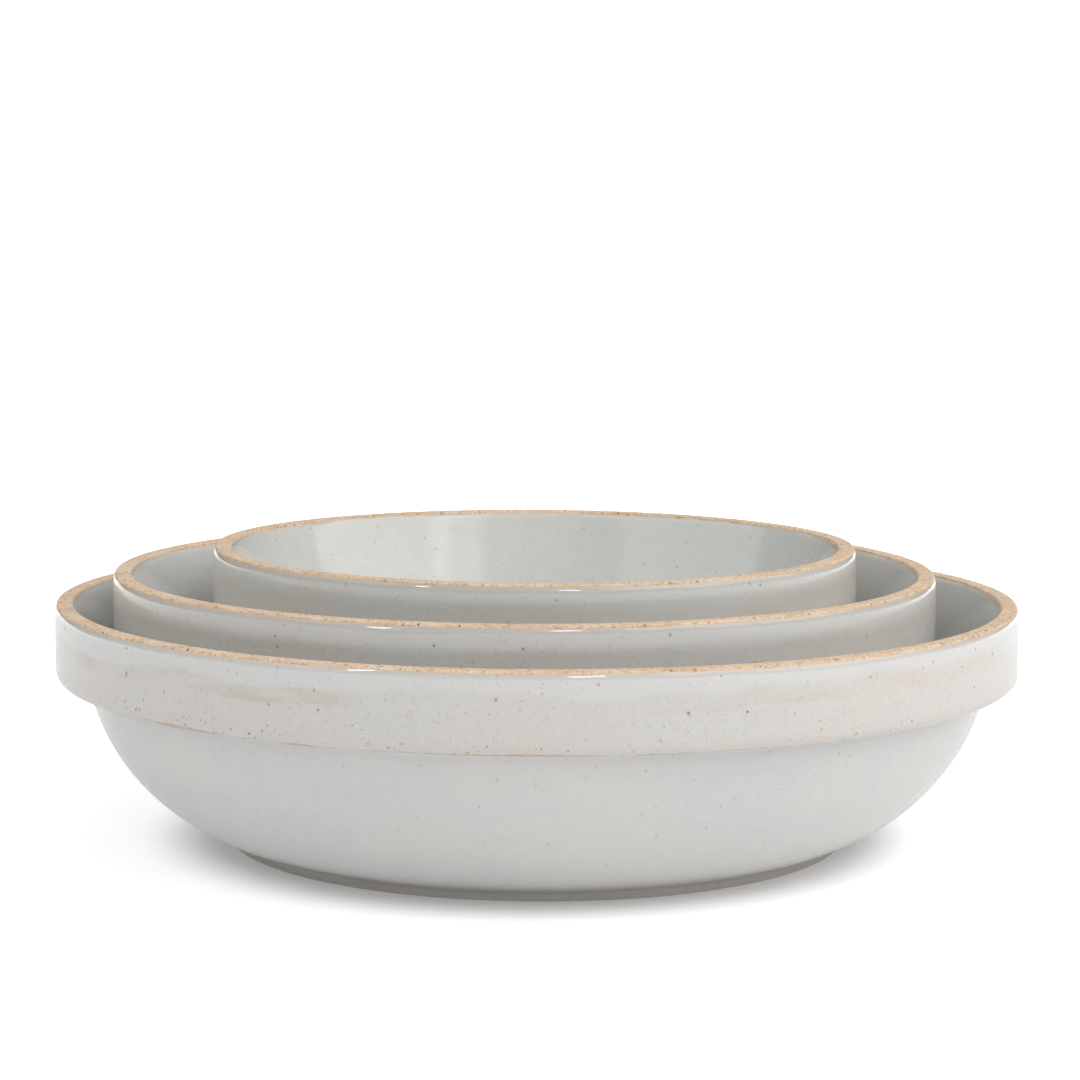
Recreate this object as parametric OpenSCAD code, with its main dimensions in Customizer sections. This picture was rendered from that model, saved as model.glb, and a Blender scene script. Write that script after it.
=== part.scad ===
// Nest of three round stacking bowls in glazed stoneware. All three share one
// turned section, and differ in diameter. Each bowl stands on the floor of the next
// larger one. Millimetres, +Z up, with the origin at the centre of the large bowl's
// foot, on the table.

/* [Diameters] */
// Rim diameter of the large bowl
large_d = 220; // [219.5:0.5:230]
// Rim diameter of the medium bowl
medium_d = 188.2; // [184:0.2:188.6]
// Rim diameter of the small bowl
small_d = 147.5; // [140:0.5:149]

/* [Height and collar] */
// Height of each bowl, from its foot to its rim
bowl_h = 55; // [54:0.5:57]
// Height of the straight collar below the rim
collar_h = 17.2; // [16:0.2:19]
// Radius of the collar's lower corner
collar_corner = 2.3; // [1.5:0.1:3]
// Width of the ledge under the collar, where the curved wall starts
ledge_w = 7; // [6.5:0.25:7.25]

/* [Rim] */
// Width of the rim between its two glaze edges
rim_w = 4.4; // [4:0.1:4.8]
// Radius of the rim's two soft edges
rim_round = 0.5; // [0.3:0.1:0.6]

/* [Wall] */
// Radius of the wall's outside, in the turned section
wall_r = 46.5; // [46:0.25:47.5]
// Radius of the bend from the inside of the wall to the floor, in the turned section
bend_r = 40; // [38.5:0.25:40]
// Degrees by which the inside leans out from upright, from the bend up to the rim
inner_lean = 21; // [20:0.5:22]

/* [Floor and foot] */
// Height of the large bowl's floor above its foot
large_floor = 6.6; // [5.5:0.1:7.5]
// Height of the medium bowl's floor above its foot
medium_floor = 5.6; // [5:0.1:6.5]
// Height of the small bowl's floor above its foot
small_floor = 5.2; // [5:0.1:6.5]
// How far the foot's outer edge lies inside the rim
foot_in = 38.8; // [38.6:0.2:40]
// Width of the foot ring
foot_w = 4.5; // [3.5:0.25:6]
// Height of the bare clay at the foot, below the glaze
foot_h = 2; // [1.6:0.1:2.4]
// Depth of the underside inside the foot ring
foot_recess = 1.6; // [1:0.1:2]

/* [Glaze] */
// Thickness of the glaze
glaze_t = 0.4; // [0.3:0.05:0.6]
// How far below the rim the glaze starts
glaze_line = 0.6; // [0.6:0.1:1.5]

/* [Nesting] */
// How far the medium bowl stands off the large bowl's axis, along X
medium_shift = -2.9; // [-3:0.1:3]
// How far the small bowl stands off the large bowl's axis, along X
small_shift = -0.6; // [-3:0.1:3]

/* [Hidden] */

// Rim radii, and the height each bowl stands at
large_r = large_d / 2;
medium_r = medium_d / 2;
small_r = small_d / 2;
medium_z = large_floor;
small_z = large_floor + medium_floor;

// The outside of the wall is one arc from the ledge down to the foot. Those two points
// and its radius set its centre, which lies arc_in inside the rim and arc_z above the foot.
ledge_z = bowl_h - collar_h;
chord_x = foot_in - ledge_w;
chord_z = ledge_z - foot_h;
chord = norm([chord_x, chord_z]);
arc_back = sqrt(wall_r ^ 2 - (chord / 2) ^ 2) / chord;
arc_in = (ledge_w + foot_in) / 2 + arc_back * chord_z;
arc_z = (ledge_z + foot_h) / 2 + arc_back * chord_x;

// Smoothness: how far a straight step of an outline may cut inside its arc
arc_sag = 0.01;
$fn = 180;
foot_round = 0.5;
clay_color = [0.67, 0.56, 0.46];
glaze_color = [0.82, 0.83, 0.80];

function arc(centre, radius, from, to) =
    let (steps = ceil(abs(to - from) / (2 * acos(1 - arc_sag / radius))))
    [for (i = [0:steps]) let (a = from + (to - from) * i / steps)
        centre + radius * [cos(a), sin(a)]];

function backwards(points) = [for (i = [len(points) - 1:-1:0]) points[i]];

// Distance from the axis of the leaning inside at height z, sunk by depth
function inside_x(r, z, depth) =
    r - rim_w + depth / cos(inner_lean) - (bowl_h - z) * tan(inner_lean);

// Outside of a bowl of rim radius r, from the glaze's top edge down to the foot,
// sunk by depth
function outer_line(r, depth) =
    let (
        sunk_r = wall_r - depth,
        from = -asin((arc_z - ledge_z - depth) / sunk_r),
        to = -asin((arc_z - foot_h) / sunk_r)
    )
    concat(
        [[r - depth, bowl_h - glaze_line]],
        arc([r - collar_corner, ledge_z + collar_corner], collar_corner - depth, 0, -90),
        arc([r - arc_in, arc_z], sunk_r, from, to)
    );

// Inside of a bowl of rim radius r and floor height floor_z, from the glaze's top
// edge down to the middle of the floor, sunk by depth
function inner_line(r, floor_z, depth) =
    let (
        bend_z = floor_z + bend_r,
        bend_x = inside_x(r, bend_z, 0) - bend_r / cos(inner_lean)
    )
    concat(
        [[inside_x(r, bowl_h - glaze_line, depth), bowl_h - glaze_line]],
        arc([bend_x, bend_z], bend_r + depth, -inner_lean, -90),
        [[0, floor_z - depth]]
    );

// Bare rim: a flat land between two rounded edges
function rim_line(r) =
    let (
        soft_in = rim_round * (1 - sin(inner_lean)) / cos(inner_lean),
        land_in = inside_x(r, bowl_h, glaze_t) + soft_in
    )
    concat(
        arc([r - glaze_t - rim_round, bowl_h - rim_round], rim_round, 0, 90),
        arc([land_in, bowl_h - rim_round], rim_round, 90, 180 - inner_lean)
    );

// Underside: the recess, then the foot ring up to the glaze's lower edge
function foot_line(r) =
    let (
        ring_out = r - foot_in,
        ring_in = ring_out - foot_w
    )
    concat(
        [[0, foot_recess], [ring_in, foot_recess]],
        arc([ring_in + foot_round, foot_round], foot_round, 180, 270),
        arc([ring_out - foot_round, foot_round], foot_round, -90, 0),
        [[ring_out, foot_h]]
    );

module clay(r, floor_z)
    color(clay_color)
        rotate_extrude()
            polygon(concat(
                rim_line(r),
                inner_line(r, floor_z, glaze_t),
                foot_line(r),
                backwards(outer_line(r, glaze_t))
            ));

module outer_glaze(r)
    color(glaze_color)
        rotate_extrude()
            polygon(concat(outer_line(r, 0), backwards(outer_line(r, glaze_t))));

module inner_glaze(r, floor_z)
    color(glaze_color)
        rotate_extrude()
            polygon(concat(inner_line(r, floor_z, 0), backwards(inner_line(r, floor_z, glaze_t))));

// Where the two inner bowls stand in the nest
module place_medium() translate([medium_shift, 0, medium_z]) children();
module place_small() translate([small_shift, 0, small_z]) children();

module large_bowl_body() clay(large_r, large_floor);
module large_bowl_outer_glaze() outer_glaze(large_r);
module large_bowl_inner_glaze() inner_glaze(large_r, large_floor);

module medium_bowl_body() place_medium() clay(medium_r, medium_floor);
module medium_bowl_outer_glaze() place_medium() outer_glaze(medium_r);
module medium_bowl_inner_glaze() place_medium() inner_glaze(medium_r, medium_floor);

module small_bowl_body() place_small() clay(small_r, small_floor);
module small_bowl_outer_glaze() place_small() outer_glaze(small_r);
module small_bowl_inner_glaze() place_small() inner_glaze(small_r, small_floor);

large_bowl_body();
large_bowl_outer_glaze();
large_bowl_inner_glaze();
medium_bowl_body();
medium_bowl_outer_glaze();
medium_bowl_inner_glaze();
small_bowl_body();
small_bowl_outer_glaze();
small_bowl_inner_glaze();
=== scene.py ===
"""Looks of a nest of three glazed stoneware bowls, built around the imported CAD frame.

Each bowl is three turned meshes: the clay, which shows at the rim and the foot, and the
two coats of glaze. Outlines are in millimetres, from a bowl's own axis and foot.
"""

import math

import bmesh
import bpy
import numpy as np
from mathutils import Matrix, Vector, noise


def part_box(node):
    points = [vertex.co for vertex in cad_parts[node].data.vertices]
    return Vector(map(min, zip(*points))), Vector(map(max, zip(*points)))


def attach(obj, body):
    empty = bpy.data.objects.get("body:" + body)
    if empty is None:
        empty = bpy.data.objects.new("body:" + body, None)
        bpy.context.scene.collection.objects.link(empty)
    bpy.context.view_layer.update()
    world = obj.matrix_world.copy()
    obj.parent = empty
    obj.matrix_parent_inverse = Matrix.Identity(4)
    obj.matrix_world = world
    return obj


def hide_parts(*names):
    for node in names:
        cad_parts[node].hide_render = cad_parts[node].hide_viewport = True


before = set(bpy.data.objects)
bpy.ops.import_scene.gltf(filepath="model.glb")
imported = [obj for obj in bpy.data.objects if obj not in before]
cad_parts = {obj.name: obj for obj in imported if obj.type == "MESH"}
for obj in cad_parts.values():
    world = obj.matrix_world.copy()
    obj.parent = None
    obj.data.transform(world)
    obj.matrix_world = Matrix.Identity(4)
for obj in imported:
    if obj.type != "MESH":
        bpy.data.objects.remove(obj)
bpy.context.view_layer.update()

MM = 0.001
BOWLS = ("large", "medium", "small")

# Section shared by the three bowls, in mm, as in the CAD. Heights, radii and the glaze's
# thickness are read from the frame's nodes.
COLLAR_H = 17.2
COLLAR_CORNER = 2.3
LEDGE_W = 7.0
WALL_R = 46.5
BEND_R = 40.0
INNER_LEAN = math.radians(21)
RIM_W = 4.4
RIM_ROUND = 0.5
FOOT_W = 4.5
FOOT_ROUND = 0.5
FOOT_RECESS = 1.6

# Finer points the CAD leaves out, in mm: the fillets where the wall meets the ledge and
# inside the foot ring, how far the glaze's lower edge stops inside the foot ring, and
# how far the bare rim's outline runs down behind the glaze
LEDGE_FILLET = 1.2
FOOT_FILLET = 0.6
FOOT_STEP = 0.25
RIM_BEHIND = 1.0

# How finely the turned meshes are cut: steps round the axis, and mm along each outline
CLAY_STEPS = 720
GLAZE_STEPS = 480
OUTSIDE_CUT = 0.7
INSIDE_CUT = 0.9
RIM_CUT = 0.22
FOOT_CUT = 0.5
BEHIND_GLAZE_CUT = 3.0


# ---------------------------------------------------------------- outlines

def arc(cx, cz, radius, start, end, step=1.0):
    """Points of an arc, angles in degrees, about step mm apart."""
    count = max(2, math.ceil(abs(math.radians(end - start)) * radius / step))
    angles = np.radians(np.linspace(start, end, count + 1))
    return np.column_stack((cx + radius * np.cos(angles), cz + radius * np.sin(angles)))


def line(x0, z0, x1, z1, step=1.0):
    """Points of a straight stretch, both ends included, about step mm apart."""
    count = max(1, math.ceil(math.hypot(x1 - x0, z1 - z0) / step))
    return np.column_stack((np.linspace(x0, x1, count + 1), np.linspace(z0, z1, count + 1)))


def join(*parts):
    """One outline from several that meet end to start."""
    points = np.vstack(parts)
    gap = np.hypot(*np.diff(points, axis=0).T)
    return points[np.concatenate(([True], gap > 1e-6))]


def along(outline):
    """Distance run along an outline to each of its points, in mm."""
    return np.concatenate(([0], np.cumsum(np.hypot(*np.diff(outline, axis=0).T))))


class Section:
    """The clay's section for one bowl: its frame sizes and the curves made from them."""

    def __init__(self, bowl):
        body_low, body_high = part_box(f"{bowl}_bowl_body")
        coat_low, coat_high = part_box(f"{bowl}_bowl_outer_glaze")
        lining_low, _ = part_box(f"{bowl}_bowl_inner_glaze")
        self.body = f"{bowl}_bowl"
        self.centre = (coat_low + coat_high) / 2
        self.centre.z = body_low.z
        self.height = (body_high.z - body_low.z) / MM
        self.rim_r = (coat_high.y - coat_low.y) / 2 / MM
        self.glaze_t = self.rim_r - (body_high.y - body_low.y) / 2 / MM
        self.glaze_top = (coat_high.z - body_low.z) / MM
        self.foot_top = (coat_low.z - body_low.z) / MM
        self.floor = (lining_low.z - body_low.z) / MM + self.glaze_t
        self.foot_r = self.foot_radius()
        self.ledge = self.height - COLLAR_H
        self.set_arcs()

    def foot_radius(self):
        """Outer radius of the foot ring, from the flat it stands on in the CAD clay."""
        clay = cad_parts[f"{self.body}_body"].data
        ring = [v.co for v in clay.vertices if v.co.z < self.centre.z + 1e-5]
        reach = max(math.hypot(p.x - self.centre.x, p.y - self.centre.y) for p in ring)
        return reach / MM + FOOT_ROUND

    def set_arcs(self):
        """Centres of the two arcs that shape the wall, one on each side of the clay."""
        foot_in = self.rim_r - self.foot_r
        chord_x = foot_in - LEDGE_W
        chord_z = self.ledge - self.foot_top
        chord = math.hypot(chord_x, chord_z)
        back = math.sqrt(WALL_R**2 - (chord / 2) ** 2) / chord
        self.wall_x = self.rim_r - (LEDGE_W + foot_in) / 2 - back * chord_z
        self.wall_z = (self.ledge + self.foot_top) / 2 + back * chord_x
        self.bend_z = self.floor + BEND_R
        self.bend_x = self.inside_x(self.bend_z) - BEND_R / math.cos(INNER_LEAN)

    def inside_x(self, z, depth=0.0):
        """Radius of the leaning inside at height z, sunk by depth."""
        rim = self.rim_r - RIM_W + depth / math.cos(INNER_LEAN)
        return rim - (self.height - z) * math.tan(INNER_LEAN)

    def corner_run(self, angle):
        """Run from the glaze's top edge to where the collar's corner has turned by angle."""
        straight = self.glaze_top - self.ledge - COLLAR_CORNER
        return straight + (COLLAR_CORNER - self.glaze_t) * math.radians(angle)

    def foot_run(self):
        """Run from the glaze's top edge down the outside to where the glaze stops."""
        return along(self.outside(1.0))[-1]

    def outside(self, step):
        """Clay under the outer glaze, from the glaze's top edge down to the foot."""
        t = self.glaze_t
        wall_r = WALL_R - t
        ledge = self.ledge + t
        fillet_z = ledge - LEDGE_FILLET
        rise = self.wall_z - fillet_z
        fillet_x = self.wall_x + math.sqrt((wall_r + LEDGE_FILLET) ** 2 - rise**2)
        meet = math.degrees(math.atan2(rise, self.wall_x - fillet_x))
        foot = -math.degrees(math.acos((self.foot_r - FOOT_STEP - self.wall_x) / wall_r))
        corner_x, corner_z = self.rim_r - COLLAR_CORNER, self.ledge + COLLAR_CORNER
        return join(
            line(self.rim_r - t, self.glaze_top, self.rim_r - t, corner_z, step),
            arc(corner_x, corner_z, COLLAR_CORNER - t, 0, -90, step / 3),
            line(corner_x, ledge, fillet_x, ledge, step),
            arc(fillet_x, fillet_z, LEDGE_FILLET, 90, meet, step / 3),
            arc(self.wall_x, self.wall_z, wall_r, meet - 180, foot, step),
        )

    def inside(self, step):
        """Clay under the inner glaze, from the glaze's top edge down to the axis."""
        t = self.glaze_t
        bend = arc(self.bend_x, self.bend_z, BEND_R + t, -math.degrees(INNER_LEAN), -90, step)
        return join(
            line(self.inside_x(self.glaze_top, t), self.glaze_top, *bend[0], step),
            bend,
            line(self.bend_x, self.floor - t, 0, self.floor - t, 2 * step),
        )

    def rim(self, step):
        """Bare land between two soft edges, from the outside to the inside."""
        top = self.height - RIM_ROUND
        side = self.rim_r - self.glaze_t - RIM_ROUND
        soft = RIM_ROUND * (1 - math.sin(INNER_LEAN)) / math.cos(INNER_LEAN)
        land_in = self.inside_x(self.height, self.glaze_t) + soft
        return join(
            line(side + RIM_ROUND, self.glaze_top - RIM_BEHIND, side + RIM_ROUND, top, step),
            arc(side, top, RIM_ROUND, 0, 90, step),
            line(side, self.height, land_in, self.height, step),
            arc(land_in, top, RIM_ROUND, 90, 180 - math.degrees(INNER_LEAN), step),
        )

    def foot(self, step):
        """Underside from the axis out, then the foot ring up to the glaze's lower edge."""
        ring_in = self.foot_r - FOOT_W
        inner, outer = ring_in + FOOT_ROUND, self.foot_r - FOOT_ROUND
        fillet_x, fillet_z = ring_in - FOOT_FILLET, FOOT_RECESS - FOOT_FILLET
        glaze_end = self.outside(step)[-1]
        return join(
            line(0, FOOT_RECESS, ring_in - 1, FOOT_RECESS, 8 * step),
            arc(fillet_x, fillet_z, FOOT_FILLET, 90, 0, step / 2),
            arc(inner, FOOT_ROUND, FOOT_ROUND, 180, 270, step / 2),
            line(inner, 0, outer, 0, step),
            arc(outer, FOOT_ROUND, FOOT_ROUND, -90, 0, step / 2),
            line(self.foot_r, FOOT_ROUND, self.foot_r, glaze_end[1] - FOOT_STEP, step / 2),
            glaze_end[None, :],
        )


# ---------------------------------------------------------------- hand-made irregularity

# In mm: how far a rim is out of round and out of level, and how far a glaze edge drifts
# slowly, strays in small nibbles, sits above its place on average and rises at most
OUT_OF_ROUND, OUT_OF_LEVEL = 0.10, 0.07
DRIFT, NIBBLE, EDGE_LIFT, EDGE_TOP = 0.08, 0.07, 0.1, 0.2


def waves(angles, rng, cycles, size):
    """A smooth closed wander round the axis: a few cosines with random phases."""
    total = np.zeros_like(angles)
    for k in cycles:
        total += rng.normal() * np.cos(k * angles + rng.uniform(0, math.tau))
    return total * size / math.sqrt(len(cycles))


def out_of_true(points, rng):
    """Sets a bowl's points, (..., 3) in mm, a little out of round and out of level."""
    angles = np.arctan2(points[..., 1], points[..., 0])
    lift = points[..., 2] / points[..., 2].max()
    oval = waves(angles, rng, range(2, 6), OUT_OF_ROUND) * lift
    level = waves(angles, rng, range(2, 5), OUT_OF_LEVEL) * lift
    points[..., 0] += np.cos(angles) * oval
    points[..., 1] += np.sin(angles) * oval
    points[..., 2] += level
    return points


def edge_wander(angles, rng):
    """How far a glaze edge strays down the clay, in mm: slow drifts and small nibbles."""
    slow = waves(angles, rng, range(3, 14), DRIFT)
    nibbles = waves(angles, rng, range(30, 110, 4), NIBBLE)
    return np.maximum(slow + nibbles - EDGE_LIFT, -EDGE_TOP)


def lumps(points, size, height, seed):
    """Smooth random rise and fall over a surface, one value per point, in mm."""
    flat = points.reshape(-1, 3) / size + seed
    values = [noise.noise(Vector(p)) for p in flat]
    return np.array(values).reshape(points.shape[:-1]) * height


# ---------------------------------------------------------------- meshes

# Glaze that lies on the clay, in mm: its rounded edge and how finely that is cut, the
# stretch over which an edge's wander dies out and the one over which unevenness sets in,
# and the depth its hidden back is sunk into the clay. The back keeps one ring in BACK_EVERY.
EDGE_R = 2.0
EDGE_FINE, EDGE_CUT = 1.6, 0.12
WANDER_REACH = 1.2
UNEVEN_REACH = 1.5
SINK = 0.12
BACK_EVERY = 3

# Where it ran thin: the share lost at the rim and the stretch in mm that takes, and mm lost
# over the collar's corner and the width of that dip
RIM_THIN, THIN_REACH = 0.45, 2.4
CORNER_THIN, CORNER_WIDTH = 0.12, 1.2

# Where it pooled, in mm: height, width and place of the swelling under the ledge, placed
# from the ledge's inner end, and of the roll above the foot, placed from the glaze's end
LEDGE_POOL, POOL_WIDTH, POOL_PLACE = 0.22, 1.4, 2.2
FOOT_ROLL, FOOT_ROLL_WIDTH, FOOT_ROLL_PLACE = 0.10, 1.0, 1.4

# Random rise and fall: size and height in mm of the glaze's slow rolls and fine dimples,
# and of the clay's grain
ROLL_SIZE, ROLL_HEIGHT = 17.0, 0.11
DIMPLE_SIZE, DIMPLE_HEIGHT = 5.0, 0.018
GRAIN_SIZE, GRAIN_HEIGHT = 0.8, 0.03

# Random seeds, to which a bowl's number is added: its shape out of true, its two coats and
# its clay's grain. A coat's dimples add theirs to the coat's.
TRUE_SEED, OUTER_SEED, INNER_SEED, GRAIN_SEED = 900, 10, 20, 60
DIMPLE_SEED = 40


def turn(outline, steps):
    """Points of an outline carried round the axis: (outline, step, xyz)."""
    angles = np.arange(steps) * math.tau / steps
    x = outline[:, 0, None] * np.cos(angles)
    y = outline[:, 0, None] * np.sin(angles)
    z = np.repeat(outline[:, 1, None], steps, axis=1)
    return np.stack((x, y, z), axis=-1)


def skin(name, rings, at_axis, attribute, centre, material):
    """A closed mesh through the rings, which either end on the axis or come full circle.
    attribute is a name and one value per ring, kept for the material."""
    rows, steps = rings.shape[:2]
    points = rings.reshape(-1, 3) * MM
    here = np.arange(rows * steps).reshape(rows, steps)
    near, far = (here[:-1], here[1:]) if at_axis else (here, np.roll(here, -1, axis=0))
    quads = np.stack((near, far, np.roll(far, -1, 1), np.roll(near, -1, 1)), axis=-1)
    faces = quads.reshape(-1, 4).tolist()
    key, ring_values = attribute
    values = np.repeat(ring_values, steps)
    if at_axis:
        ends = [rings[0].mean(axis=0) * MM, rings[-1].mean(axis=0) * MM]
        points = np.vstack((points, ends))
        values = np.append(values, (ring_values[0], ring_values[-1]))
        first, last = rows * steps, rows * steps + 1
        for i in range(steps):
            after = (i + 1) % steps
            faces.append((here[0, after], here[0, i], first))
            faces.append((here[-1, i], here[-1, after], last))
    mesh = bpy.data.meshes.new(name)
    mesh.from_pydata((points + np.array(centre)).tolist(), [], faces)
    shell = bmesh.new()
    shell.from_mesh(mesh)
    bmesh.ops.recalc_face_normals(shell, faces=shell.faces)
    shell.to_mesh(mesh)
    shell.free()
    mesh.shade_smooth()
    layer = mesh.attributes.new(key, "FLOAT", "POINT")
    layer.data.foreach_set("value", values.astype(np.float32))
    mesh.materials.append(material)
    piece = bpy.data.objects.new(name, mesh)
    bpy.context.scene.collection.objects.link(piece)
    return piece


def outward(outline, side):
    """Unit normals of an outline: side 1 for the outside of the clay, -1 for the inside."""
    tangent = np.gradient(outline, axis=0)
    tangent /= np.hypot(*tangent.T)[:, None]
    return side * np.column_stack((-tangent[:, 1], tangent[:, 0]))


def fine_edges(outline, last_too):
    """Cuts an outline finely near its first end, and its last end too where glaze stops there."""
    run = along(outline)
    fine = np.arange(0, EDGE_FINE, EDGE_CUT)
    last = run[-1] - fine[::-1] if last_too else run[-1:]
    plain = run[(run > EDGE_FINE) & (run < last[0] - EDGE_CUT)]
    places = np.concatenate((fine, plain, last))
    return np.column_stack([np.interp(places, run, outline[:, axis]) for axis in (0, 1)])


def rounded(distance, thickness):
    """Rises from 0 at a glaze edge to 1, along a circle that meets the clay at a slant."""
    flat = EDGE_R - thickness
    reach = math.sqrt(EDGE_R**2 - flat**2)
    back = reach - np.minimum(distance, reach)
    return (np.sqrt(EDGE_R**2 - back**2) - flat) / thickness


def swell(distance, place, width):
    """A soft hump, 1 high at place."""
    return np.exp(-(((distance - place) / width) ** 2))


def glaze_thickness(section, run, outside):
    """Thickness of a coat along its run: thin at the rim, and on the outside thin again
    over the collar's corner, fat where it pooled under the ledge and rolled at the foot."""
    thick = section.glaze_t * (1 - RIM_THIN * np.exp(-run / THIN_REACH))
    thick *= rounded(run, section.glaze_t)
    if outside:
        left = run[-1] - run
        thick *= rounded(left, section.glaze_t)
        ledge_end = section.corner_run(90) + LEDGE_W
        thick -= CORNER_THIN * swell(run, section.corner_run(60), CORNER_WIDTH)
        thick += LEDGE_POOL * swell(run, ledge_end - POOL_PLACE, POOL_WIDTH)
        thick += FOOT_ROLL * swell(left, FOOT_ROLL_PLACE, FOOT_ROLL_WIDTH)
    return thick


def coat(section, outline, side, seed):
    """Rings of glaze over an outline of the clay, front then back, and each ring's run."""
    outline = fine_edges(outline, side > 0)
    run = along(outline)
    normal = outward(outline, side)
    thick = glaze_thickness(section, run, side > 0)
    front = turn(outline + normal * thick[:, None], GLAZE_STEPS)
    relief = lumps(front, ROLL_SIZE, ROLL_HEIGHT, seed)
    relief += lumps(front, DIMPLE_SIZE, DIMPLE_HEIGHT, seed + DIMPLE_SEED)
    uneven = np.clip(run / UNEVEN_REACH, 0, 1)[:, None]
    front += turn(normal, GLAZE_STEPS) * (relief * uneven)[..., None]
    back = turn((outline - normal * SINK)[::-BACK_EVERY], GLAZE_STEPS)
    back_run = run[::-BACK_EVERY]

    angles = np.arange(GLAZE_STEPS) * math.tau / GLAZE_STEPS
    stray = edge_wander(angles, np.random.default_rng(seed))
    down = outline[1] - outline[0]
    shift = turn(down[None, :] / np.hypot(*down), GLAZE_STEPS)[0] * stray[:, None]
    front += np.exp(-run / WANDER_REACH)[:, None, None] * shift
    back += np.exp(-back_run / WANDER_REACH)[:, None, None] * shift
    return np.concatenate((front, back)), np.concatenate((run, back_run))


def add_piece(section, number, name, layer, rings, at_axis, attribute, material):
    """Skins rings as a piece that stands for a layer of the bowl and rides on its body."""
    rings = out_of_true(rings, np.random.default_rng(TRUE_SEED + number))
    piece = skin(f"{section.body}_{name}", rings, at_axis, attribute, section.centre, material)
    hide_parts(f"{section.body}_{layer}")
    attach(piece, section.body)


def build_bowl(bowl, number, clay, outer, inner):
    """The three pieces of one bowl: clay, outer coat and inner coat."""
    section = Section(bowl)

    rings, run = coat(section, section.outside(OUTSIDE_CUT), 1, OUTER_SEED + number)
    add_piece(section, number, "outer_coat", "outer_glaze", rings, False,
              ("run", run), outer)

    # Front and back are both reversed, so that the rings start and end near the axis. The
    # skin closes itself there, so the outline's own point on the axis is left out.
    rings, run = coat(section, section.inside(INSIDE_CUT)[:-1], -1, INNER_SEED + number)
    half = int(np.argmax(run)) + 1
    rings = np.concatenate((rings[:half][::-1], rings[half:][::-1]))
    run = np.concatenate((run[:half][::-1], run[half:][::-1]))
    add_piece(section, number, "inner_coat", "inner_glaze", rings, True,
              ("run", run), inner)

    outline = join(
        section.inside(BEHIND_GLAZE_CUT)[::-1][1:],
        section.rim(RIM_CUT)[::-1],
        section.outside(BEHIND_GLAZE_CUT)[1:],
        section.foot(FOOT_CUT)[::-1],
    )
    outline = outline[outline[:, 0] > 0.01]
    rings = turn(outline, CLAY_STEPS)
    rings[..., 2] += lumps(rings, GRAIN_SIZE, GRAIN_HEIGHT, GRAIN_SEED + number)
    add_piece(section, number, "clay", "body", rings, True,
              ("rise", outline[:, 1]), clay)


# ---------------------------------------------------------------- shader nodes

def srgb(red, green, blue):
    """Linear colour of an 8-bit screen colour."""
    def linear(value):
        share = value / 255
        return share / 12.92 if share <= 0.04045 else ((share + 0.055) / 1.055) ** 2.4
    return (linear(red), linear(green), linear(blue), 1.0)


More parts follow.
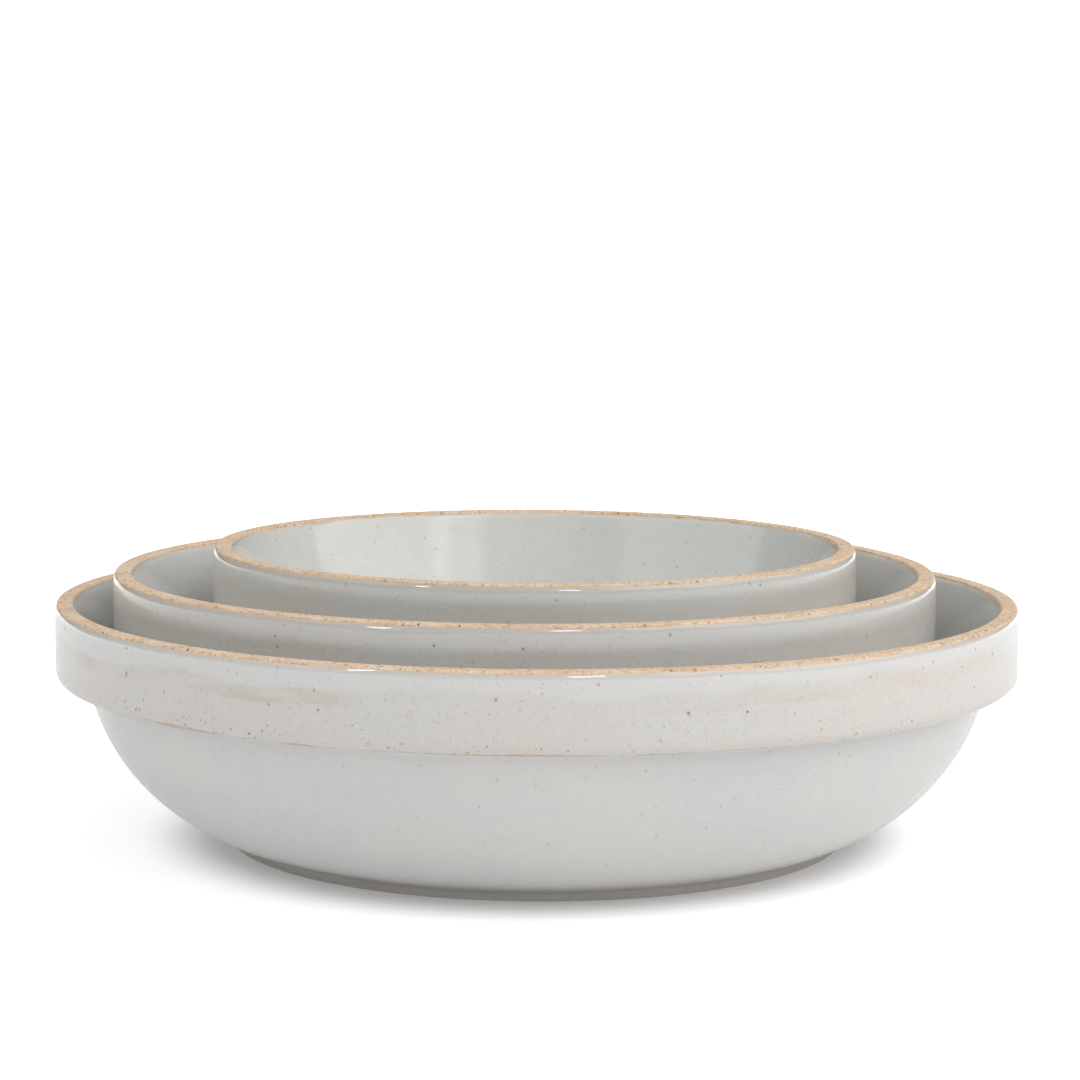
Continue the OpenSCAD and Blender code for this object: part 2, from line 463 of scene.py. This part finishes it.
class Shader:
    """A node material under construction, with one short call per kind of node."""

    def __init__(self, name):
        self.material = bpy.data.materials.new(name)
        self.material.use_nodes = True
        self.nodes = self.material.node_tree.nodes
        self.links = self.material.node_tree.links
        self.surface = self.nodes["Principled BSDF"]
        place = self.nodes.new("ShaderNodeTexCoord").outputs["Object"]
        self.mm = self.vector("SCALE", place, scale=1 / MM)

    def put(self, socket, value):
        """Feeds a socket from another node's output, or sets it to a plain value."""
        if isinstance(value, bpy.types.NodeSocket):
            self.links.new(value, socket)
        else:
            socket.default_value = value

    def vector(self, operation, a, b=None, scale=None):
        node = self.nodes.new("ShaderNodeVectorMath")
        node.operation = operation
        self.put(node.inputs[0], a)
        if b is not None:
            self.put(node.inputs[1], b)
        if scale is not None:
            self.put(node.inputs["Scale"], scale)
        return node.outputs["Value" if operation == "LENGTH" else "Vector"]

    def math(self, operation, a, b=0.0):
        node = self.nodes.new("ShaderNodeMath")
        node.operation = operation
        self.put(node.inputs[0], a)
        self.put(node.inputs[1], b)
        return node.outputs[0]

    def product(self, *factors):
        """All the factors multiplied together."""
        total = factors[0]
        for factor in factors[1:]:
            total = self.math("MULTIPLY", total, factor)
        return total

    def attribute(self, name):
        node = self.nodes.new("ShaderNodeAttribute")
        node.attribute_name = name
        return node.outputs["Fac"]

    def azimuth(self):
        """Degrees round the axis, 0 at the front and positive to the right."""
        split = self.nodes.new("ShaderNodeSeparateXYZ")
        self.links.new(self.mm, split.inputs[0])
        ahead = self.math("MULTIPLY", split.outputs[1], -1.0)
        return self.math("DEGREES", self.math("ARCTAN2", split.outputs[0], ahead))

    def stretched(self, sideways, upright, shift=0.0):
        """Position in mm, divided by a grain size across and a grain size up. shift picks
        another stretch of the same noise, so that no two patterns match."""
        sized = self.vector("MULTIPLY", self.mm, (1 / sideways, 1 / sideways, 1 / upright))
        return self.vector("ADD", sized, (shift, shift * 0.7, shift * 1.3))

    def noise(self, place, detail=2.0, roughness=0.5):
        node = self.nodes.new("ShaderNodeTexNoise")
        self.put(node.inputs["Vector"], place)
        node.inputs["Scale"].default_value = 1.0
        node.inputs["Detail"].default_value = detail
        node.inputs["Roughness"].default_value = roughness
        return node.outputs["Fac"]

    def ramp(self, value, low, high, start=0.0, end=1.0):
        """A smooth step: start where value is at low, end where it is at high."""
        node = self.nodes.new("ShaderNodeMapRange")
        node.interpolation_type = "SMOOTHSTEP"
        for key, setting in zip(("Value", "From Min", "From Max", "To Min", "To Max"),
                                (value, low, high, start, end)):
            self.put(node.inputs[key], setting)
        return node.outputs["Result"]

    def window(self, value, low, high, soft):
        """1 from low to high, falling to 0 over soft beyond each."""
        rise = self.ramp(value, low - soft, low)
        return self.product(rise, self.ramp(value, high + soft, high))

    def mix(self, share, a, b, blend="MIX"):
        node = self.nodes.new("ShaderNodeMix")
        node.data_type = "RGBA"
        node.blend_type = blend
        self.put(node.inputs[0], share)
        self.put(node.inputs[6], a)
        self.put(node.inputs[7], b)
        return node.outputs[2]

    def specks(self, cell, small, large, share, shift=0.0, soft=0.5):
        """Round grains, one at most in each cell of cell mm, with radii from small to large mm."""
        wobble = self.noise(self.stretched(large * 2, large * 2, shift), 1.0)
        node = self.nodes.new("ShaderNodeTexVoronoi")
        self.put(node.inputs["Vector"], self.stretched(cell, cell, shift))
        node.inputs["Scale"].default_value = 1.0
        split = self.nodes.new("ShaderNodeSeparateColor")
        self.links.new(node.outputs["Color"], split.inputs[0])
        radius = self.ramp(split.outputs[0], 0.0, 1.0, small / cell, large / cell)
        radius = self.product(radius, self.ramp(wobble, 0.2, 0.8, 0.6, 1.4))
        spot = self.ramp(node.outputs["Distance"], radius, self.product(radius, soft))
        return self.product(spot, self.math("LESS_THAN", split.outputs[1], share))

    def bump(self, height, strength, distance, normal=None):
        node = self.nodes.new("ShaderNodeBump")
        self.put(node.inputs["Height"], height)
        node.inputs["Strength"].default_value = strength
        node.inputs["Distance"].default_value = distance * MM
        if normal is not None:
            self.links.new(normal, node.inputs["Normal"])
        return node.outputs["Normal"]

    def finish(self, color, roughness, **settings):
        self.put(self.surface.inputs["Base Color"], color)
        self.put(self.surface.inputs["Roughness"], roughness)
        for key, value in settings.items():
            self.put(self.surface.inputs[key.replace("_", " ")], value)
        return self.material


# ---------------------------------------------------------------- materials

WALL_COOL, WALL_WARM = srgb(210, 211, 210), srgb(214, 213, 210)
COLLAR_PALE, COLLAR_SANDY = srgb(206, 205, 202), srgb(208, 204, 199)
COLLAR_DIPPED = srgb(208, 209, 208)
INSIDE_COOL, INSIDE_WARM = srgb(211, 212, 208), srgb(214, 214, 209)
THIN_GLAZE = srgb(204, 182, 158)

# Tint of each outside
TONES = {
    "large": srgb(255, 255, 255),
    "medium": srgb(250, 250, 248),
    "small": srgb(252, 252, 249),
}

# Warm smears along each collar's dip line: first and last azimuth in degrees, first and
# last run in mm, strength
SMEARS = {
    "large": ((-60, -24, 5.0, 7.0, 0.50), (14, 60, 4.6, 7.4, 0.22)),
    "medium": ((-66, -34, 3.5, 6.0, 0.16), (100, 150, 4.0, 7.0, 0.5)),
    "small": ((40, 80, 4.0, 6.5, 0.14), (-150, -110, 4.0, 7.0, 0.5)),
}


def bare_clay():
    """Matt tan stoneware with brown and dark iron grains, greyer down at the foot, with painted
    shade darkening the foot's lowest 2 mm.
    """
    s = Shader("bare_clay")
    broad = s.noise(s.stretched(9, 9), 3.0)
    grain = s.noise(s.stretched(0.8, 0.8, 3.0), 3.0, 0.6)
    color = s.mix(s.ramp(broad, 0.3, 0.7), srgb(218, 193, 164), srgb(229, 208, 183))
    color = s.mix(s.ramp(grain, 0.42, 0.68, 0.0, 0.7), color, srgb(188, 150, 116))
    pale = s.specks(1.1, 0.15, 0.35, 0.3, 5.0)
    color = s.mix(s.product(pale, 0.45), color, srgb(234, 216, 192))
    brown = s.specks(1.2, 0.20, 0.55, 0.5, 11.0)
    color = s.mix(s.product(brown, 0.7), color, srgb(158, 106, 70))
    dark = s.specks(1.9, 0.18, 0.45, 0.5, 23.0)
    color = s.mix(s.product(dark, 0.8), color, srgb(106, 72, 50))
    # Greyer clay, mixed in from 30 mm above the table down to 8 mm
    greyed = s.mix(0.85, color, srgb(204, 203, 202))
    rise = s.attribute("rise")
    color = s.mix(s.ramp(rise, 30.0, 8.0), color, greyed)
    # Painted shade: the foot's lowest 2 mm darker, for the shadow where it meets the table
    color = s.mix(s.ramp(rise, 2.0, 0.4, 0.0, 0.3), color, srgb(158, 150, 144))
    pits = s.math("SUBTRACT", grain, s.product(dark, 0.5))
    return s.finish(color, s.ramp(grain, 0.2, 0.8, 0.75, 0.95), Normal=s.bump(pits, 0.7, 0.12))


def iron_specks(s, color, amount, shift):
    """Iron grains melted into the glaze: faint sandy dots, tan dots and a few dark ones."""
    fine = s.specks(0.8, 0.10, 0.24, 0.55, shift, 0.2)
    color = s.mix(s.product(fine, amount, 0.36), color, srgb(172, 150, 124))
    tan = s.specks(1.25, 0.16, 0.42, 0.55, shift + 2.0, 0.1)
    color = s.mix(s.product(tan, amount, 0.45), color, srgb(162, 142, 112))
    halo = s.specks(2.5, 0.24, 0.66, 0.6, shift + 6.0, 0.1)
    color = s.mix(s.product(halo, amount, 0.45), color, srgb(168, 142, 108))
    dark = s.specks(2.5, 0.12, 0.42, 0.6, shift + 6.0, 0.3)
    return s.mix(s.product(dark, amount, 0.75), color, srgb(112, 90, 62))


def glaze_surface(s, color, mottle, run):
    """Glossy finish with faint orange peel, smoothest on the bead at the glaze's edge."""
    peel = s.noise(s.stretched(1.5, 1.5, 67.0), 2.0)
    normal = s.bump(peel, 0.13, 0.05)
    normal = s.bump(s.noise(s.stretched(6, 6, 71.0), 1.0), 0.22, 0.10, normal)
    gloss = s.ramp(mottle, 0.2, 0.8, 0.09, 0.16)
    roughness = s.ramp(run, 2.0, 0.8, gloss, 0.05)
    return s.finish(color, roughness, Normal=normal, IOR=1.5)


def wall_glaze(s, cloud, mottle, shift):
    """Cool grey of the wall below the collar, with faint upright streaks."""
    streak = s.noise(s.stretched(3.2, 30, shift + 13.0), 2.0)
    color = s.mix(s.ramp(cloud, 0.35, 0.65), WALL_COOL, WALL_WARM)
    color = s.mix(s.ramp(mottle, 0.35, 0.75, 0.0, 0.10), color, srgb(184, 186, 180))
    return s.mix(s.ramp(streak, 0.5, 0.8, 0.0, 0.08), color, srgb(186, 189, 184))


def collar_glaze(s, bowl, run, azimuth, cloud, mottle, shift):
    """Sandy grey of the collar, where a second dip left a paler strip under the rim, with
    the bowl's warm smears along the lower edge of that strip."""
    crumb = s.noise(s.stretched(1.3, 1.0, shift + 29.0), 2.0, 0.6)
    color = s.mix(s.ramp(cloud, 0.38, 0.62), COLLAR_PALE, COLLAR_SANDY)
    color = s.mix(s.ramp(mottle, 0.4, 0.75, 0.0, 0.12), color, srgb(206, 190, 174))
    color = s.mix(s.ramp(crumb, 0.45, 0.75, 0.0, 0.22), color, srgb(184, 176, 162))

    wander = s.noise(s.stretched(24, 400, shift + 17.0), 2.0)
    dip = s.math("ADD", run, s.ramp(wander, 0.2, 0.8, -1.6, 1.6))
    color = s.mix(s.ramp(dip, 5.6, 4.0, 0.0, 0.7), color, COLLAR_DIPPED)
    ragged = s.ramp(s.noise(s.stretched(15, 3.0, shift + 37.0), 4.0, 0.55), 0.25, 0.75)
    for start, end, high, low, strength in SMEARS[bowl]:
        patch = s.product(s.window(azimuth, start, end, 7.0), s.window(dip, high, low, 1.2))
        color = s.mix(s.product(patch, ragged, strength), color, srgb(189, 170, 148))
    return color


def worn_corner(s, color, section, run, azimuth, shift):
    """Thin brown line with dark dots where the glaze broke over the collar's corner,
    widest on the left of the front and faint on its right."""
    nibble = s.ramp(s.noise(s.stretched(1.6, 60, shift + 53.0), 2.0), 0.25, 0.75, -0.22, 0.22)
    wider = s.ramp(azimuth, -15.0, -50.0, 0.0, 0.6)
    frayed = s.math("ADD", s.math("ADD", run, nibble), wider)
    bare = s.window(frayed, section.corner_run(56), section.corner_run(100), 0.4)
    tinge = s.window(frayed, section.corner_run(20), section.corner_run(100), 2.2)
    patchy = s.ramp(s.noise(s.stretched(18, 60, shift + 59.0), 2.0), 0.35, 0.6, 0.25, 1.0)
    fade = s.ramp(azimuth, -10.0, 30.0, 1.0, 0.35)
    color = s.mix(s.product(tinge, patchy, 0.20), color, srgb(204, 186, 166))
    color = s.mix(s.product(bare, patchy, fade, 0.8), color, srgb(168, 144, 120))
    dots = s.specks(1.3, 0.16, 0.40, 0.6, shift + 61.0)
    return s.mix(s.product(dots, tinge, fade, 0.7), color, srgb(126, 102, 80))


def painted_foot_shade(s, color, section, run):
    """Painted shade: glaze darker and greyer towards the foot, standing for the shadowed floor
    there that gives the lower wall less light.
    """
    foot_run = section.foot_run()
    color = s.mix(s.ramp(run, foot_run - 13.0, foot_run, 0.0, 0.7), color, srgb(160, 158, 155))
    return s.mix(s.ramp(run, foot_run - 3.0, foot_run, 0.0, 0.5), color, srgb(144, 140, 136))


def warm_edge(s, color, run):
    """Lets the clay's tan through the last millimetre of glaze below the rim."""
    return s.mix(s.product(s.ramp(run, 1.0, 0.1), 0.5), color, THIN_GLAZE)


def outer_glaze(bowl, shift):
    """Pale grey glaze of an outside: specked, sandy on the collar and cooler and plainer
    on the wall. shift moves every pattern, so that no two bowls look the same."""
    s = Shader(f"{bowl}_outer_glaze")
    section = Section(bowl)
    run = s.attribute("run")
    azimuth = s.azimuth()
    cloud = s.noise(s.stretched(30, 20, shift), 3.0)
    mottle = s.noise(s.stretched(3.0, 2.4, shift + 7.0), 3.0, 0.6)
    wall = wall_glaze(s, cloud, mottle, shift)
    collar = collar_glaze(s, bowl, run, azimuth, cloud, mottle, shift)
    on_collar = s.ramp(run, section.corner_run(100), section.corner_run(75))
    color = s.mix(1.0, s.mix(on_collar, wall, collar), TONES[bowl], "MULTIPLY")

    crowd = s.ramp(s.noise(s.stretched(22, 9, shift + 23.0), 2.0), 0.35, 0.65, 0.55, 1.0)
    amount = s.product(s.ramp(on_collar, 0.0, 1.0, 0.4, 1.0), crowd)
    color = iron_specks(s, color, amount, shift + 41.0)
    color = worn_corner(s, color, section, run, azimuth, shift)
    color = warm_edge(s, color, run)
    # Painted shade on the outer glaze towards the foot
    color = painted_foot_shade(s, color, section, run)
    return glaze_surface(s, color, mottle, run)


def inner_glaze():
    """Pale grey glaze of an inside, with few specks."""
    s = Shader("inner_glaze")
    run = s.attribute("run")
    cloud = s.noise(s.stretched(34, 22), 3.0)
    mottle = s.noise(s.stretched(3.2, 2.6, 7.0), 3.0, 0.6)
    color = s.mix(s.ramp(cloud, 0.35, 0.65), INSIDE_COOL, INSIDE_WARM)
    color = s.mix(s.ramp(mottle, 0.3, 0.75, 0.0, 0.14), color, srgb(184, 184, 176))
    color = iron_specks(s, color, 0.4, 41.0)
    color = warm_edge(s, color, run)
    return glaze_surface(s, color, mottle, run)


# ---------------------------------------------------------------- stage, lights and camera

# The floor, in metres, and how brightly it glows near the bowls, far off, and beside the
# foot for the camera only
FLOOR_R = 4.0
FLOOR_SIDES = 96
FLOOR_GLOW = 0.155
FAR_GLOW = 1.0
SEEN_GLOW = 0.34

# Brightness of the white room as light on the bowls, and as the camera sees it
ROOM_LIGHT = 0.13
ROOM_SEEN = 1.05

# The soft boxes: azimuth and elevation in degrees (azimuth 0 is the camera's side and 90
# the right), distance, width and height in metres, radiance and colour
LIGHTS = {
    "top_box": (0, 90, 1.5, 1.6, 1.6, 0.67, (1.0, 1.0, 1.0)),
    "right_edge": (38, 40, 1.6, 0.55, 1.3, 1.9, (1.0, 0.985, 0.975)),
    "right_window": (77, 38, 1.6, 1.7, 1.4, 1.95, (1.0, 0.985, 0.98)),
    "front_panel": (9, 40, 1.6, 1.1, 1.0, 0.40, (0.97, 0.985, 1.0)),
    "front_lamp": (11, 22, 1.6, 0.20, 0.16, 13.0, (1.0, 1.0, 1.0)),
    "left_lamp": (-39, 22, 1.6, 0.14, 0.16, 15.0, (1.0, 1.0, 1.0)),
    "left_fill": (-80, 40, 1.6, 1.8, 1.2, 1.25, (1.0, 1.0, 1.0)),
    "back_fill": (180, 45, 1.6, 2.0, 1.2, 0.5, (1.0, 1.0, 1.0)),
}

# What the soft boxes face, in metres above the floor
AIM_HEIGHT = 0.03

# The camera's place in metres, its tilt in degrees and its lens in mm, as fitted to the
# outlines of the bowls
CAMERA_BACK = 0.672
CAMERA_UP = 0.1467
CAMERA_PITCH = 6.69
CAMERA_YAW = 0.05
CAMERA_ROLL = 0.32
CAMERA_LENS = 97.86


def white_floor(foot_r):
    """A round pale table that glows a little, and more far off, where it meets the white
    background. The camera also sees a glow that starts just outside the foot of radius
    foot_r mm, which keeps the shadow close to the foot."""
    s = Shader("pale_floor")
    tone = s.noise(s.stretched(120, 120), 2.0)
    paper = s.mix(s.ramp(tone, 0.3, 0.7), srgb(237, 237, 237), srgb(240, 240, 240))
    away = s.vector("LENGTH", s.mm)
    glow = s.ramp(away, 200.0, 900.0, FLOOR_GLOW, FAR_GLOW)
    seen = s.nodes.new("ShaderNodeLightPath").outputs["Is Camera Ray"]
    shown = s.product(seen, s.ramp(away, foot_r + 3.0, foot_r + 22.0, 0.0, SEEN_GLOW))
    material = s.finish(paper, 0.9, IOR=1.3, Emission_Color=(1, 1, 1, 1),
                        Emission_Strength=s.math("ADD", glow, shown))
    turns = [math.tau * i / FLOOR_SIDES for i in range(FLOOR_SIDES)]
    rim = [(FLOOR_R * math.cos(a), FLOOR_R * math.sin(a), 0) for a in turns]
    mesh = bpy.data.meshes.new("floor")
    mesh.from_pydata(rim, [], [tuple(range(FLOOR_SIDES))])
    mesh.materials.append(material)
    floor = bpy.data.objects.new("floor", mesh)
    bpy.context.scene.collection.objects.link(floor)


def soft_light(name, azimuth, elevation, distance, width, height, radiance, color):
    """A soft box that faces the bowls, unseen by the camera."""
    a, e = math.radians(azimuth), math.radians(elevation)
    toward = Vector((math.sin(a) * math.cos(e), -math.cos(a) * math.cos(e), math.sin(e)))
    light = bpy.data.lights.new(name, "AREA")
    light.shape = "RECTANGLE"
    light.size = width
    light.size_y = height
    light.energy = radiance * width * height * math.pi
    light.color = color
    box = bpy.data.objects.new(name, light)
    box.location = toward * distance + Vector((0, 0, AIM_HEIGHT))
    box.rotation_mode = "QUATERNION"
    box.rotation_quaternion = toward.to_track_quat("Z", "Y")
    box.visible_camera = False
    bpy.context.scene.collection.objects.link(box)


def white_room():
    """Even light from all round, and a plain white backdrop for the camera."""
    world = bpy.data.worlds.new("white_room")
    bpy.context.scene.world = world
    world.use_nodes = True
    nodes, links = world.node_tree.nodes, world.node_tree.links
    room = nodes["Background"]
    room.inputs["Color"].default_value = (0.985, 0.99, 1.0, 1.0)
    path = nodes.new("ShaderNodeLightPath")
    choose = nodes.new("ShaderNodeMapRange")
    choose.inputs["To Min"].default_value = ROOM_LIGHT
    choose.inputs["To Max"].default_value = ROOM_SEEN
    links.new(path.outputs["Is Camera Ray"], choose.inputs["Value"])
    links.new(choose.outputs["Result"], room.inputs["Strength"])


def camera():
    """Stands in front and looks slightly down."""
    pitch, yaw, roll = (math.radians(v) for v in (CAMERA_PITCH, CAMERA_YAW, CAMERA_ROLL))
    ahead = Vector((math.sin(yaw) * math.cos(pitch), math.cos(yaw) * math.cos(pitch),
                    -math.sin(pitch)))
    right = Vector((math.cos(yaw), -math.sin(yaw), 0))
    up = right.cross(ahead)
    rolled_right = math.cos(roll) * right + math.sin(roll) * up
    rolled_up = math.cos(roll) * up - math.sin(roll) * right
    data = bpy.data.cameras.new("camera")
    data.lens = CAMERA_LENS
    data.sensor_width = 36.0
    data.clip_start = 0.01
    eye = bpy.data.objects.new("camera", data)
    turned = Matrix((rolled_right, rolled_up, -ahead)).transposed().to_4x4()
    eye.matrix_world = Matrix.Translation((0, -CAMERA_BACK, CAMERA_UP)) @ turned
    bpy.context.scene.collection.objects.link(eye)
    bpy.context.scene.camera = eye


# ---------------------------------------------------------------- the scene

clay = bare_clay()
inner = inner_glaze()
for number, bowl in enumerate(BOWLS):
    outer = outer_glaze(bowl, 19.0 * number)
    build_bowl(bowl, number, clay, outer, inner)

white_floor(Section("large").foot_r)
for name, setting in LIGHTS.items():
    soft_light(name, *setting)
white_room()
camera()
bpy.context.scene.view_settings.view_transform = "Standard"
bpy.context.scene.view_settings.look = "None"
